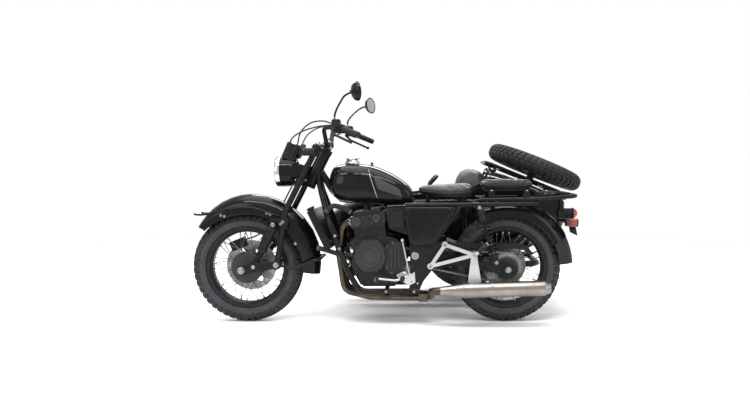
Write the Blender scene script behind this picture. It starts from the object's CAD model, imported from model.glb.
import math

import bmesh
import bpy
import numpy as np
from mathutils import Matrix, Vector
from mathutils.bvhtree import BVHTree


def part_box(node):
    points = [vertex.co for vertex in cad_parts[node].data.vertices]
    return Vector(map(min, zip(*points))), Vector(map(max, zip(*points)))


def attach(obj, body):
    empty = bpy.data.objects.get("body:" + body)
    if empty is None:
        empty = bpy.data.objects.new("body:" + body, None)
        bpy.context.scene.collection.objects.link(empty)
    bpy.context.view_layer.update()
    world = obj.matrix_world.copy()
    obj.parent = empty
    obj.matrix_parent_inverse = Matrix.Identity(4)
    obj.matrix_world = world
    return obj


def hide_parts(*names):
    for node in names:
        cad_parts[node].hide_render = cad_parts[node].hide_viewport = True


bl_info = {
    "name": "Sidecar outfit looks",
    "version": (1, 0, 0),
    "blender": (4, 5, 0),
    "location": "3D View > Sidebar > Outfit",
    "description": "Dresses the sidecar motorcycle: paint, metal, leather, tread, springs and trim",
    "category": "Object",
}

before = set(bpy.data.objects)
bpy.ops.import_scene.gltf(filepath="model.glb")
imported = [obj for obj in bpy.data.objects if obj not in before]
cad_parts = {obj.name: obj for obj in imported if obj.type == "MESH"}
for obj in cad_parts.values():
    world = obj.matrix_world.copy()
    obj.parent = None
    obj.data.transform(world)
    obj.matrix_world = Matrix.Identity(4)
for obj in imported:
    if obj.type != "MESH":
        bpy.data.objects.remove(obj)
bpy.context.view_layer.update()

# Everything below is drawn in millimetres from the rear axle: x ahead, y to the left, z up from the floor
MM = 0.001


def middle(node):
    """Centre of a CAD node's box, in metres in the frame."""
    low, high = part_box(node)
    return (low + high) / 2


REAR_AXLE = middle("rear_tyre")


def to_frame(point):
    """A point in machine millimetres, as metres in the frame."""
    return Vector((REAR_AXLE.x + point[0] * MM, REAR_AXLE.y + point[1] * MM, point[2] * MM))


def to_machine(point):
    """A point in the frame, as machine millimetres."""
    return Vector(((point[0] - REAR_AXLE.x) / MM, (point[1] - REAR_AXLE.y) / MM, point[2] / MM))


def hub_of(node):
    """Centre of a tyre, in machine millimetres."""
    return to_machine(middle(node))


REAR_HUB = hub_of("rear_tyre")
FRONT_HUB = hub_of("front_tyre")
SIDECAR_HUB = hub_of("sidecar_tyre")
SPARE_HUB = hub_of("spare_tyre")
WHEEL_R = REAR_HUB.z
TYRE_W = (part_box("rear_tyre")[1].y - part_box("rear_tyre")[0].y) / MM
TUB_Y = to_machine(middle("sidecar_tub")).y

RIM_R = 227
RIM_INNER_R = RIM_R - 19
HUB_R = 86
SPOKES_PER_SIDE = 18
SPARE_TILT = math.radians(22)
RAKE = math.radians(27)
STEER_FOOT_X = FRONT_HUB.x + 40

X_AXIS = Vector((1, 0, 0))
Y_AXIS = Vector((0, 1, 0))
Z_AXIS = Vector((0, 0, 1))
SPARE_AXIS = Vector((-math.sin(SPARE_TILT), 0, math.cos(SPARE_TILT)))

# Name, body, hub, axis, and the side of the brake disc or 0 where there is none
WHEELS = [("front", "front_wheel_set", FRONT_HUB, Y_AXIS, -1), ("rear", "rear_wheel_set", REAR_HUB, Y_AXIS, -1),
          ("sidecar", "sidecar_wheel_set", SIDECAR_HUB, Y_AXIS, 1), ("spare", "lid_set", SPARE_HUB, SPARE_AXIS, 0)]
BLOCK_CUT = 0.14
FLAT_TURNS = 0.6


def on_fork(up, ahead, left):
    """A point by its place on the raked steering axis."""
    foot = Vector((STEER_FOOT_X, 0, 0))
    along = Vector((-math.sin(RAKE), 0, math.cos(RAKE)))
    forward = Vector((math.cos(RAKE), 0, math.sin(RAKE)))
    return foot + up * along + ahead * forward + left * Y_AXIS


def flip(point):
    """The same point on the other side of the motorcycle."""
    return Vector((point[0], -point[1], point[2]))


def turned(s, p):
    """A point of the left side, or the same point on the right where s is -1."""
    return Vector(p) if s > 0 else flip(p)


def basis(axis):
    """Two unit vectors square to an axis and to each other."""
    axis = Vector(axis).normalized()
    side = (Z_AXIS if abs(axis.z) < 0.9 else X_AXIS).cross(axis).normalized()
    return side, axis.cross(side)


def at_angle(angle, side, up):
    """The unit vector at an angle between two others."""
    return math.cos(angle) * side + math.sin(angle) * up


def rays(count, side, up, start=0):
    """Unit vectors spaced evenly round an axis. start is a share of the space between two."""
    return [at_angle(2 * math.pi * (k + start) / count, side, up) for k in range(count)]


def smooth_path(points, steps=8):
    """A rounded line through the points."""
    points = [Vector(p) for p in points]
    path = []
    for i in range(len(points) - 1):
        b, c = points[i], points[i + 1]
        a = points[i - 1] if i else b + (b - c)
        d = points[i + 2] if i + 2 < len(points) else c + (c - b)
        for k in range(steps):
            t = k / steps
            path.append(0.5 * (2 * b + (c - a) * t + (2 * a - 5 * b + 4 * c - d) * t * t
                               + (3 * b - a - 3 * c + d) * t ** 3))
    path.append(points[-1])
    return path


class Shape:
    """Points and faces of one piece, gathered in machine millimetres."""

    def __init__(self):
        self.points = []
        self.faces = []
        self.finish = []

    def add(self, points, faces, finish=0):
        start = len(self.points)
        self.points.extend(Vector(p) for p in points)
        self.faces.extend([start + k for k in face] for face in faces)
        self.finish.extend([finish] * len(faces))

    def loft(self, rings, closed_run=False, caps=True, finish=0):
        """A skin over closed rings of equal counts of points."""
        count = len(rings[0])
        runs = len(rings) if closed_run else len(rings) - 1
        faces = []
        for i in range(runs):
            here, there = i * count, (i + 1) % len(rings) * count
            for j in range(count):
                k = (j + 1) % count
                faces.append([here + j, here + k, there + k, there + j])
        if caps and not closed_run:
            last = (len(rings) - 1) * count
            faces.append(list(range(count - 1, -1, -1)))
            faces.append([last + k for k in range(count)])
        self.add([p for ring in rings for p in ring], faces, finish)

    def tube(self, path, radius, sides=10, closed=False, finish=0):
        """A round bar along a path. The radius is one number, or one for each point."""
        path = [Vector(p) for p in path]
        count = len(path)
        radii = radius if hasattr(radius, "__len__") else [radius] * count
        side = None
        rings = []
        for i, p in enumerate(path):
            ahead = path[(i + 1) % count] if closed or i + 1 < count else p
            behind = path[i - 1] if closed or i else p
            along = (ahead - behind).normalized()
            if side is None:
                side = basis(along)[0]
            side = (side - along * side.dot(along)).normalized()
            up = along.cross(side)
            rings.append([p + radii[i] * ray for ray in rays(sides, side, up)])
        self.loft(rings, closed_run=closed, finish=finish)

    def turn(self, profile, centre, axis, steps=32, closed=False, finish=0):
        """A profile of (radius, distance along the axis) turned about it."""
        around = rays(steps, *basis(axis))
        axis = Vector(axis).normalized()
        rings = [[Vector(centre) + r * ray + h * axis for ray in around] for r, h in profile]
        self.loft(rings, closed_run=closed, finish=finish)

    def block(self, centre, size, turn=None, finish=0):
        """A box with its edges cut."""
        cut = min(size) * BLOCK_CUT
        rings = []
        for level, inset in ((-0.5, cut), (-0.5 + cut / size[2], 0), (0.5 - cut / size[2], 0), (0.5, cut)):
            a, b = size[0] / 2 - inset, size[1] / 2 - inset
            ring = [(a, b - cut), (a - cut, b), (cut - a, b), (-a, b - cut),
                    (-a, cut - b), (cut - a, -b), (a - cut, -b), (a, cut - b)]
            rings.append([Vector((x, y, level * size[2])) for x, y in ring])
        move = Matrix.Translation(Vector(centre)) @ (turn or Matrix.Identity(3)).to_4x4()
        self.loft([[move @ p for p in ring] for ring in rings], finish=finish)

    def bolt(self, at, out, size=8, finish=0):
        """A hexagon head with a washer under it."""
        self.turn([(size * 1.05, 0), (size * 1.05, size * 0.22), (size * 0.5, size * 0.22)], at, out, 14, finish=finish)
        head = Vector(at) + Vector(out).normalized() * size * 0.2
        self.turn([(size * 0.82, 0), (size * 0.82, size * 0.5), (size * 0.66, size * 0.66), (size * 0.3, size * 0.68)],
                  head, out, 6, finish=finish)

    def cap_screw(self, at, out, size=6, finish=0):
        """A round socket screw with a hollow in its head."""
        self.turn([(size * 0.8, 0), (size * 0.8, size * 0.66), (size * 0.68, size * 0.8), (size * 0.42, size * 0.8),
                   (size * 0.38, size * 0.36)], at, out, 14, finish=finish)

    def helix(self, a, b, radius, wire, turns, finish=0):
        """A coil spring from a to b, its end turns laid flat."""
        a, b = Vector(a), Vector(b)
        side, up = basis(b - a)
        steps = int(turns * 18)
        path = []
        for k in range(steps + 1):
            wound = turns * k / steps
            share = min(max((wound - FLAT_TURNS) / (turns - 2 * FLAT_TURNS), 0), 1)
            rise = wire / (b - a).length + share * (1 - 2 * wire / (b - a).length)
            path.append(a + (b - a) * rise + radius * at_angle(2 * math.pi * wound, side, up))
        self.tube(path, wire, 8, finish=finish)

    def piece(self, name, body, finishes, slot, stands_for=(), crease=38):
        """Makes the object, gives it its finishes and lets it ride on its body."""
        mesh = bpy.data.meshes.new(name)
        mesh.from_pydata([to_frame(p) for p in self.points], [], self.faces)
        for finish in finishes:
            mesh.materials.append(FINISH[finish])
        mesh.polygons.foreach_set("material_index", self.finish)
        work = bmesh.new()
        work.from_mesh(mesh)
        bmesh.ops.recalc_face_normals(work, faces=work.faces)
        work.to_mesh(mesh)
        work.free()
        add_piece(name, mesh, body, stands_for, crease)


def add_piece(name, mesh, body, stands_for=(), crease=38):
    """Links a mesh as a piece that rides on a body, and stands for the CAD nodes it is given."""
    mesh.shade_smooth()
    mesh.set_sharp_from_angle(angle=math.radians(crease))
    piece = bpy.data.objects.new(name, mesh)
    bpy.context.scene.collection.objects.link(piece)
    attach(piece, body)
    if stands_for:
        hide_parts(*stands_for)
    return piece


def surface_of(node):
    """A ray caster on a CAD node's own faces."""
    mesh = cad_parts[node].data
    return BVHTree.FromPolygons([v.co for v in mesh.vertices], [list(p.vertices) for p in mesh.polygons])


def touch(tree, start, direction, reach=2000):
    """Where a ray in machine millimetres meets a surface: the point and the way out of it, or None."""
    hit, normal, _, _ = tree.ray_cast(to_frame(start), Vector(direction).normalized(), reach * MM)
    if hit is None:
        return None
    normal = normal if normal.dot(Vector(direction)) < 0 else -normal
    return to_machine(hit), normal


class Wires:
    """Adds and joins nodes in one tree."""

    def __init__(self, tree):
        self.tree = tree

    def node(self, kind, **settings):
        node = self.tree.nodes.new("ShaderNode" + kind)
        for key, value in settings.items():
            setattr(node, key, value)
        return node

    def feed(self, socket, value):
        """Joins an output to a socket, or sets the socket to a constant."""
        if isinstance(value, bpy.types.NodeSocket):
            self.tree.links.new(value, socket)
        else:
            socket.default_value = value

    def math(self, operation, a, b):
        node = self.node("Math", operation=operation)
        self.feed(node.inputs[0], a)
        self.feed(node.inputs[1], b)
        return node.outputs[0]

    def spread(self, value, low, high, to_low=0.0, to_high=1.0):
        """Maps a span of values to another, and holds it there."""
        node = self.node("MapRange", clamp=True)
        for socket, given in zip(node.inputs, (value, low, high, to_low, to_high)):
            self.feed(socket, given)
        return node.outputs[0]

    def noise(self, scale, detail=4.0, vector=None):
        node = self.node("TexNoise")
        self.feed(node.inputs["Vector"], vector or self.node("TexCoord").outputs["Object"])
        self.feed(node.inputs["Scale"], scale)
        node.inputs["Detail"].default_value = detail
        return node.outputs[0]

    def mix(self, factor, a, b):
        node = self.node("Mix", data_type="RGBA")
        self.feed(node.inputs[0], factor)
        self.feed(node.inputs[6], a)
        self.feed(node.inputs[7], b)
        return node.outputs[2]

    def group(self, tree, **settings):
        node = self.node("Group", node_tree=tree)
        for key, value in settings.items():
            node.inputs[key].default_value = value
        return node.outputs


SOCKET = {float: "NodeSocketFloat", tuple: "NodeSocketVector"}


def effect(name, inputs, outputs, draw):
    """A node group with named sockets, its inside drawn by a function."""
    tree = bpy.data.node_groups.new(name, "ShaderNodeTree")
    for label, value in inputs.items():
        socket = tree.interface.new_socket(name=label, in_out="INPUT", socket_type=SOCKET[type(value)])
        socket.default_value = value
    for label, kind in outputs.items():
        tree.interface.new_socket(name=label, in_out="OUTPUT", socket_type=SOCKET[kind])
    wires = Wires(tree)
    given = tree.nodes.new("NodeGroupInput").outputs
    end = tree.nodes.new("NodeGroupOutput")
    for label, value in draw(wires, given).items():
        wires.feed(end.inputs[label], value)
    return tree


def draw_edges(w, given):
    """Corners rounded in the shading, and a broken mask of bare metal along them."""
    rounded = w.node("Bevel", samples=4)
    w.feed(rounded.inputs["Radius"], given["Radius"])
    flat = w.node("NewGeometry")
    agree = w.node("VectorMath", operation="DOT_PRODUCT")
    w.feed(agree.inputs[0], rounded.outputs[0])
    w.feed(agree.inputs[1], flat.outputs["Normal"])
    corner = w.spread(agree.outputs["Value"], 0.97, 0.8)
    patches = w.spread(w.noise(140.0), 0.46, 0.62)
    worn = w.math("MULTIPLY", w.math("MULTIPLY", corner, patches), given["Amount"])
    return {"Wear": worn, "Normal": rounded.outputs[0]}


def draw_dust(w, given):
    """Dust on what faces up, more of it near the floor."""
    surface = w.node("NewGeometry")
    way = w.node("SeparateXYZ")
    w.feed(way.inputs[0], surface.outputs["Normal"])
    place = w.node("SeparateXYZ")
    w.feed(place.inputs[0], surface.outputs["Position"])
    up = w.spread(way.outputs["Z"], 0.0, 1.0, 0.25, 1.0)
    low = w.spread(place.outputs["Z"], 0.1, 0.9, 1.0, 0.3)
    patches = w.spread(w.noise(26.0, 6.0), 0.38, 0.7)
    mask = w.math("MULTIPLY", w.math("MULTIPLY", up, low), w.math("MULTIPLY", patches, given["Amount"]))
    return {"Mask": mask}


def draw_grain(w, given):
    """Fine pebbling over a slow change of tone."""
    fine = w.noise(given["Scale"], 3.0)
    slow = w.spread(w.noise(9.0, 5.0), 0.3, 0.7)
    return {"Height": fine, "Tone": slow}


def draw_streaks(w, given):
    """Fine lines drawn out along the direction of least scale."""
    place = w.node("VectorMath", operation="MULTIPLY")
    w.feed(place.inputs[0], w.node("TexCoord").outputs["Object"])
    w.feed(place.inputs[1], given["Stretch"])
    lines = w.noise(1.0, 5.0, place.outputs[0])
    slow = w.spread(w.noise(14.0, 4.0), 0.35, 0.65)
    return {"Height": lines, "Tone": slow}


def draw_leather(w, given):
    """Pebbled cells with creases between them."""
    cells = w.node("TexVoronoi", feature="DISTANCE_TO_EDGE")
    w.feed(cells.inputs["Vector"], w.node("TexCoord").outputs["Object"])
    w.feed(cells.inputs["Scale"], given["Scale"])
    pebble = w.spread(cells.outputs["Distance"], 0.0, 0.16)
    crease = w.noise(60.0, 5.0)
    height = w.math("MULTIPLY_ADD", pebble, 0.7)
    w.feed(height.node.inputs[2], w.math("MULTIPLY", crease, 0.4))
    return {"Height": height, "Tone": w.spread(crease, 0.35, 0.7)}


EDGES = effect("Edge wear", {"Radius": 0.0012, "Amount": 0.3}, {"Wear": float, "Normal": tuple}, draw_edges)
DUST = effect("Dust", {"Amount": 0.1}, {"Mask": float}, draw_dust)
GRAIN = effect("Fine grain", {"Scale": 700.0}, {"Height": float, "Tone": float}, draw_grain)
STREAKS = effect("Brushed lines", {"Stretch": (30.0, 900.0, 900.0)}, {"Height": float, "Tone": float}, draw_streaks)
LEATHER = effect("Leather grain", {"Scale": 420.0}, {"Height": float, "Tone": float}, draw_leather)
SURFACES = {"grain": (GRAIN, "Scale"), "streaks": (STREAKS, "Stretch"), "leather": (LEATHER, "Scale")}

DUST_TINT = (0.30, 0.28, 0.25, 1)
BARE_METAL = (0.34, 0.33, 0.32, 1)

# Finishes: colour, second tone, roughness and how far it swings, then what else differs from plain paint.
# surface is (effect, its scale, bump in millimetres).
FINISHES = {
    "gloss_paint": dict(colour=(0.0035, 0.0036, 0.004), tone=(0.005, 0.005, 0.0056), rough=0.1, swing=0.05,
                        specular=0.12, coat=0.08, surface=("grain", 120.0, 0.012), wear=0.1, dust=0.03),
    "frame_paint": dict(colour=(0.005, 0.005, 0.0053), tone=(0.0085, 0.0085, 0.009), rough=0.2, swing=0.1,
                        specular=0.14, surface=("grain", 420.0, 0.03), wear=0.25, dust=0.08),
    "cast_black": dict(colour=(0.009, 0.0092, 0.01), tone=(0.016, 0.016, 0.0172), rough=0.48, swing=0.12,
                       specular=0.16, surface=("grain", 900.0, 0.1), wear=0.35, dust=0.1),
    "cover_grey": dict(colour=(0.021, 0.0215, 0.023), tone=(0.031, 0.0315, 0.033), rough=0.46, swing=0.1,
                       specular=0.2, surface=("grain", 1100.0, 0.08), wear=0.3, dust=0.08),
    "plastic": dict(colour=(0.0075, 0.0075, 0.008), tone=(0.012, 0.012, 0.0126), rough=0.5, swing=0.1,
                    specular=0.16, surface=("grain", 1300.0, 0.06), dust=0.08),
    "rim_black": dict(colour=(0.0065, 0.0065, 0.007), tone=(0.01, 0.01, 0.0106), rough=0.27, swing=0.1,
                      specular=0.16, surface=("grain", 300.0, 0.02), wear=0.25, dust=0.14),
    "alloy": dict(colour=(0.5, 0.51, 0.525), tone=(0.38, 0.39, 0.4), rough=0.34, swing=0.12, metal=1.0,
                  surface=("grain", 1500.0, 0.04), dust=0.1),
    "bright_steel": dict(colour=(0.32, 0.32, 0.325), tone=(0.22, 0.22, 0.225), rough=0.24, swing=0.1, metal=1.0,
                         surface=("grain", 900.0, 0.02), dust=0.08),
    "spoke_steel": dict(colour=(0.13, 0.13, 0.132), tone=(0.08, 0.08, 0.082), rough=0.3, swing=0.1, metal=1.0,
                        surface=("grain", 900.0, 0.02), dust=0.08),
    "disc_steel": dict(colour=(0.27, 0.27, 0.275), tone=(0.18, 0.18, 0.185), rough=0.3, swing=0.12, metal=1.0,
                       surface=("streaks", (900.0, 40.0, 40.0), 0.03), dust=0.06),
    "chrome": dict(colour=(0.58, 0.58, 0.59), tone=(0.5, 0.5, 0.51), rough=0.07, swing=0.05, metal=1.0,
                   surface=("grain", 60.0, 0.006), dust=0.04),
    "silencer_steel": dict(colour=(0.275, 0.254, 0.234), tone=(0.215, 0.197, 0.18), rough=0.25, swing=0.12, metal=1.0,
                           surface=("streaks", (24.0, 800.0, 800.0), 0.03), dust=0.06),
    "header_tan": dict(colour=(0.1, 0.08, 0.059), tone=(0.055, 0.043, 0.034), rough=0.28, swing=0.14, metal=1.0,
                       surface=("streaks", (240.0, 240.0, 60.0), 0.02), dust=0.06),
    "tread": dict(colour=(0.014, 0.0146, 0.016), tone=(0.022, 0.0228, 0.0245), rough=0.78, swing=0.12,
                  specular=0.22, surface=("grain", 800.0, 0.12), dust=0.16),
    "sidewall": dict(colour=(0.023, 0.0255, 0.0305), tone=(0.033, 0.036, 0.0425), rough=0.6, swing=0.12,
                     specular=0.28, surface=("grain", 1200.0, 0.05), dust=0.14),
    "soft_rubber": dict(colour=(0.012, 0.012, 0.0125), tone=(0.018, 0.018, 0.0185), rough=0.62, swing=0.1,
                        specular=0.22, surface=("grain", 1000.0, 0.06), dust=0.06),
    "leather": dict(colour=(0.0105, 0.0105, 0.011), tone=(0.0165, 0.0165, 0.017), rough=0.43, swing=0.12,
                    specular=0.26, surface=("leather", 430.0, 0.22), dust=0.03),
    "piping": dict(colour=(0.02, 0.02, 0.021), tone=(0.03, 0.03, 0.031), rough=0.4, swing=0.1,
                   specular=0.4, surface=("leather", 900.0, 0.08), dust=0.03),
    "lining": dict(colour=(0.022, 0.022, 0.024), tone=(0.036, 0.036, 0.039), rough=0.9, swing=0.06,
                   specular=0.2, surface=("grain", 1600.0, 0.5), dust=0.1),
    "red_lens": dict(colour=(0.46, 0.006, 0.014), tone=(0.36, 0.004, 0.01), rough=0.12, swing=0.06, coat=0.4,
                     surface=("grain", 200.0, 0.02), dust=0.03),
    "amber_lens": dict(colour=(0.34, 0.05, 0.02), tone=(0.24, 0.035, 0.016), rough=0.14, swing=0.06, coat=0.4,
                       surface=("grain", 200.0, 0.02), dust=0.03),
    "clear_glass": dict(colour=(0.96, 0.975, 0.98), tone=(0.93, 0.95, 0.96), rough=0.03, swing=0.03, glass=1.0,
                        surface=("grain", 90.0, 0.01)),
    "mirror_glass": dict(colour=(0.42, 0.43, 0.44), tone=(0.36, 0.37, 0.38), rough=0.04, swing=0.03, metal=1.0,
                         surface=("grain", 60.0, 0.004)),
    "fins": dict(colour=(0.1, 0.1, 0.105), tone=(0.05, 0.05, 0.053), rough=0.5, swing=0.1, metal=0.6,
                 surface=("streaks", (60.0, 1500.0, 60.0), 0.3), dust=0.12),
    "dial_face": dict(colour=(0.018, 0.018, 0.019), tone=(0.024, 0.024, 0.025), rough=0.4, swing=0.08,
                      surface=("grain", 600.0, 0.02)),
    "dial_mark": dict(colour=(0.72, 0.72, 0.7), tone=(0.62, 0.62, 0.6), rough=0.5, swing=0.08,
                      surface=("grain", 800.0, 0.02)),
    "hand_red": dict(colour=(0.5, 0.03, 0.02), tone=(0.42, 0.02, 0.015), rough=0.4, swing=0.08,
                     surface=("grain", 800.0, 0.02)),
    "chain_steel": dict(colour=(0.2, 0.185, 0.165), tone=(0.11, 0.1, 0.09), rough=0.4, swing=0.14, metal=1.0,
                        surface=("grain", 1200.0, 0.05), dust=0.14),
}


def make_finish(name, colour, tone, rough, swing, surface, metal=0.0, specular=0.5, coat=0.0, glass=0.0, wear=0.0,
                dust=0.0):
    """A material: a surface effect, worn edges and dust over two tones of one colour."""
    material = bpy.data.materials.new(name)
    material.use_nodes = True
    material.diffuse_color = (*colour, 1)
    w = Wires(material.node_tree)
    shader = material.node_tree.nodes["Principled BSDF"]
    put = shader.inputs
    put["Metallic"].default_value = metal
    put["Specular IOR Level"].default_value = specular
    put["Coat Weight"].default_value = coat
    put["Coat Roughness"].default_value = 0.06
    put["Transmission Weight"].default_value = glass
    tree, scale_name = SURFACES[surface[0]]
    texture = w.group(tree, **{scale_name: surface[1]})
    edges = w.group(EDGES, Amount=wear)
    shade = w.mix(texture["Tone"], (*colour, 1), (*tone, 1))
    dull = w.spread(texture["Tone"], 0.0, 1.0, rough, rough + swing)
    if wear:
        shade = w.mix(edges["Wear"], shade, BARE_METAL)
    if dust:
        film = w.group(DUST, Amount=dust)["Mask"]
        shade = w.mix(film, shade, DUST_TINT)
        dull = w.spread(film, 0.0, 1.0, dull, 0.85)
    bump = w.node("Bump")
    bump.inputs["Strength"].default_value = 0.5
    bump.inputs["Distance"].default_value = surface[2] * MM
    w.feed(bump.inputs["Height"], texture["Height"])
    w.feed(bump.inputs["Normal"], edges["Normal"])
    w.feed(put["Base Color"], shade)
    w.feed(put["Roughness"], dull)
    w.feed(put["Normal"], bump.outputs[0])
    return material


FINISH = {name: make_finish(name, **look) for name, look in FINISHES.items()}


# Finishes of the CAD pieces that stay in sight

def smooth_node(mesh, angle=34):
    """Shades a CAD mesh smoothly across its gentle edges, without a change to its points."""
    corners = {}
    for face in mesh.polygons:
        for k in face.loop_indices:
            p = mesh.vertices[mesh.loops[k].vertex_index].co
            corners.setdefault((round(p.x * 1e5), round(p.y * 1e5), round(p.z * 1e5)), []).append((k, face))
    limit = math.cos(math.radians(angle))
    normals = [None] * len(mesh.loops)
    for corner in corners.values():
        for k, face in corner:
            total = Vector((0, 0, 0))
            for _, other in corner:
                if face.normal.dot(other.normal) > limit:
                    total += other.normal * other.area
            normals[k] = total.normalized() if total.length else face.normal
    mesh.normals_split_custom_set(normals)


def paint_node(node, finishes, pick=None):
    """Gives a CAD node its finishes, chosen for each face by its middle and its way out."""
    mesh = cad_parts[node].data
    mesh.materials.clear()
    for finish in finishes:
        mesh.materials.append(FINISH[finish])
    for face in mesh.polygons:
        face.material_index = pick(to_machine(face.center), face.normal) if pick else 0
    smooth_node(mesh)


DISC_IN = 56
HUB_ADAPTER_R = 71
HUB_SIDE_R = 95


def wheel_part(hub, axis):
    """Picks 0 for the rim, 1 for the hub, 2 for a disc or sprocket and 3 for a spoke."""
    def pick(p, _):
        out = p - hub
        aside = out.dot(axis)
        r = (out - aside * axis).length
        if r > RIM_INNER_R - 2:
            return 0
        if abs(aside) > DISC_IN and r > HUB_ADAPTER_R:
            return 2
        return 1 if r < HUB_SIDE_R else 3
    return pick


def inside_of(centre, plane_axis):
    """Picks 1 for the faces of a shell that look towards a line through its middle."""
    def pick(p, normal):
        out = p - Vector(centre)
        out -= out.dot(plane_axis) * plane_axis
        return 1 if normal.dot(out.normalized()) < -0.1 else 0
    return pick


ROUND_COVER = Vector((787, 0, 405))
RADIATOR = Vector((1079, 0, 556))
RADIATOR_LEAN = math.radians(25.5)
LAMP = Vector((1336, 0, 885))
LAMP_OUT = Vector((math.cos(math.radians(2)), 0, -math.sin(math.radians(2))))
TUB_MIDDLE = Vector((0, TUB_Y, 620))


def engine_part(p, _):
    """Picks 1 for the round cover on the left."""
    near = Vector((p.x - ROUND_COVER.x, 0, p.z - ROUND_COVER.z)).length < 96
    return 1 if near and p.y > 118 else 0


def radiator_part(p, normal):
    """Picks 1 for the core."""
    ahead = (p - RADIATOR).dot(Vector((math.cos(RADIATOR_LEAN), 0, -math.sin(RADIATOR_LEAN))))
    return 1 if 10 < ahead < 15.5 and normal.x > 0.6 else 0


def lamp_part(p, _):
    """Picks 1 for the bowl and 2 for the instrument case."""
    out = p - LAMP
    along = out.dot(LAMP_OUT)
    r = (out - along * LAMP_OUT).length
    if r < 75 and along > -60:
        return 1
    return 2 if out.z > 74 and out.x < 0 else 0


def tail_part(p, _):
    """Picks 1 for the lenses of the indicators."""
    return 1 if abs(abs(p.y) - 112) < 24 and p.x < -372 and p.z > 565 else 0


def front_signal_part(p, _):
    """Picks 1 for the lenses."""
    return 1 if p.x > on_fork(1094, 45, 0).x + 42 else 0


def sidecar_lamp_part(p, _):
    """Picks 1 for the front lens and 2 for the rear one."""
    middle_x = to_machine(middle("sidecar_lamps")).x
    if p.x > middle_x + 16:
        return 1
    return 2 if p.x < middle_x - 16 else 0


def link_part(p, _):
    """Picks 1 for the ends of the axle and the pivots."""
    near_axle = Vector((p.x - FRONT_HUB.x, 0, p.z - FRONT_HUB.z)).length < 19
    near_pivot = Vector((p.x - FRONT_HUB.x + 196, 0, p.z - FRONT_HUB.z - 29)).length < 16
    return 1 if abs(p.y) > 153.5 and (near_axle or near_pivot) else 0


SHELL_SIDES = ["gloss_paint", "frame_paint"]
WHEEL_PARTS = ["rim_black", "cover_grey", "disc_steel", "spoke_steel"]
ONE_FINISH = {
    "frame_paint": ("frame", "seat_mounts", "rear_rack", "swingarm", "sidecar_frame", "sidecar_struts", "sidecar_stays",
                    "sidecar_bulkhead", "sidecar_grab_rail", "sidecar_swingarm", "lid_rack", "fork", "handlebar"),
    "plastic": ("airbox", "chain_guard", "hand_controls"),
    "alloy": ("foot_controls", "pillion_pegs"),
    "chrome": ("filler_cap", "headlamp_ring"),
    "gloss_paint": ("fuel_tank",),
    "header_tan": ("exhaust_headers",),
    "silencer_steel": ("silencer",),
    "soft_rubber": ("rear_flap",),
    "red_lens": ("tail_lens",),
}
SEVERAL_FINISHES = {
    "engine": (["cast_black", "cover_grey"], engine_part),
    "radiator": (["frame_paint", "fins"], radiator_part),
    "rear_fender": (SHELL_SIDES, inside_of(REAR_HUB, Y_AXIS)),
    "tail_lamp": (["plastic", "amber_lens"], tail_part),
    "sidecar_tub": (["gloss_paint", "lining"], inside_of(TUB_MIDDLE, X_AXIS)),
    "sidecar_nose": (SHELL_SIDES, inside_of(TUB_MIDDLE, X_AXIS)),
    "sidecar_fender": (SHELL_SIDES, inside_of(SIDECAR_HUB, Y_AXIS)),
    "sidecar_lamps": (["plastic", "amber_lens", "red_lens"], sidecar_lamp_part),
    "trunk_lid": (SHELL_SIDES, inside_of(TUB_MIDDLE, X_AXIS)),
    "fork_links": (["frame_paint", "bright_steel"], link_part),
    "front_fender": (SHELL_SIDES, inside_of(FRONT_HUB, Y_AXIS)),
    "headlamp": (["gloss_paint", "chrome", "plastic"], lamp_part),
    "front_indicators": (["plastic", "amber_lens"], front_signal_part),
}


def paint_nodes():
    """Gives every CAD node in sight its finishes."""
    for finish, nodes in ONE_FINISH.items():
        for node in nodes:
            paint_node(node, [finish])
    for node, (finishes, pick) in SEVERAL_FINISHES.items():
        paint_node(node, finishes, pick)
    for name, _, hub, axis, _ in WHEELS:
        paint_node(name + "_wheel", WHEEL_PARTS, wheel_part(hub, axis))


# Tyres

CROWN_R = 95
CROWN_C = WHEEL_R - CROWN_R
SIDE_R = TYRE_W / 2
SIDE_C = WHEEL_R - 54


def tread_top(w):
    """Radius of the tread at a place across the tyre, and the way out of it there."""
    crown = CROWN_C + math.sqrt(CROWN_R ** 2 - w * w)
    side = SIDE_C + math.sqrt(max(SIDE_R ** 2 - w * w, 0))
    lean = math.asin(w / CROWN_R) if crown < side else math.asin(max(-1, min(1, w / SIDE_R)))
    return min(crown, side), lean


def below_tread(w, depth):
    """(radius, place across) at a depth under the tread."""
    r, lean = tread_top(w)
    return r - depth * math.cos(lean), w - depth * math.sin(lean)


def tyre_profile(depth):
    """The carcass from bead to bead, with rings raised on its sidewalls."""
    half = [(231, 35.5), (243.4, 36.3), (244, 48.6)]
    for angle, lift in ((-24, 0), (-19, 0), (-18, 0.9), (-14, 0.9), (-13, 0), (-2, 0), (2, 0), (2.8, 0.8), (5, 0.8),
                        (5.8, 0), (7, 0), (8, -1.4), (13, -3.4), (19, -5), (25, -6.2)):
        a = math.radians(angle)
        half.append((SIDE_C + (SIDE_R - 0.9 + lift) * math.sin(a), (SIDE_R - 0.9 + lift) * math.cos(a)))
    half += [below_tread(w, d) for w, d in ((47, depth * 0.85), (43, depth), (36, depth), (24, depth), (12, depth))]
    return [(r, -w) for r, w in half] + [(WHEEL_R - depth, 0)] + half[::-1]


# Blocks of tread: start and length as shares of a pitch, places across, and how far each place leads
SHOULDER_BLOCK = (0.25, 0.6, (23, 30, 37, 43, 47, 50.5, SIDE_R * 0.951, SIDE_R * 0.985),
                  (0, 2.2, 4.2, 5.4, 6, 6.4, 6.8, 7.1))
CROWN_BLOCK = (0, 0.7, (1.5, 7, 13, 19.5), (0, 3.5, 7, 9))
BLOCK_DRAFT = 0.9
BLOCK_ROUND = 1.3


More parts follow.
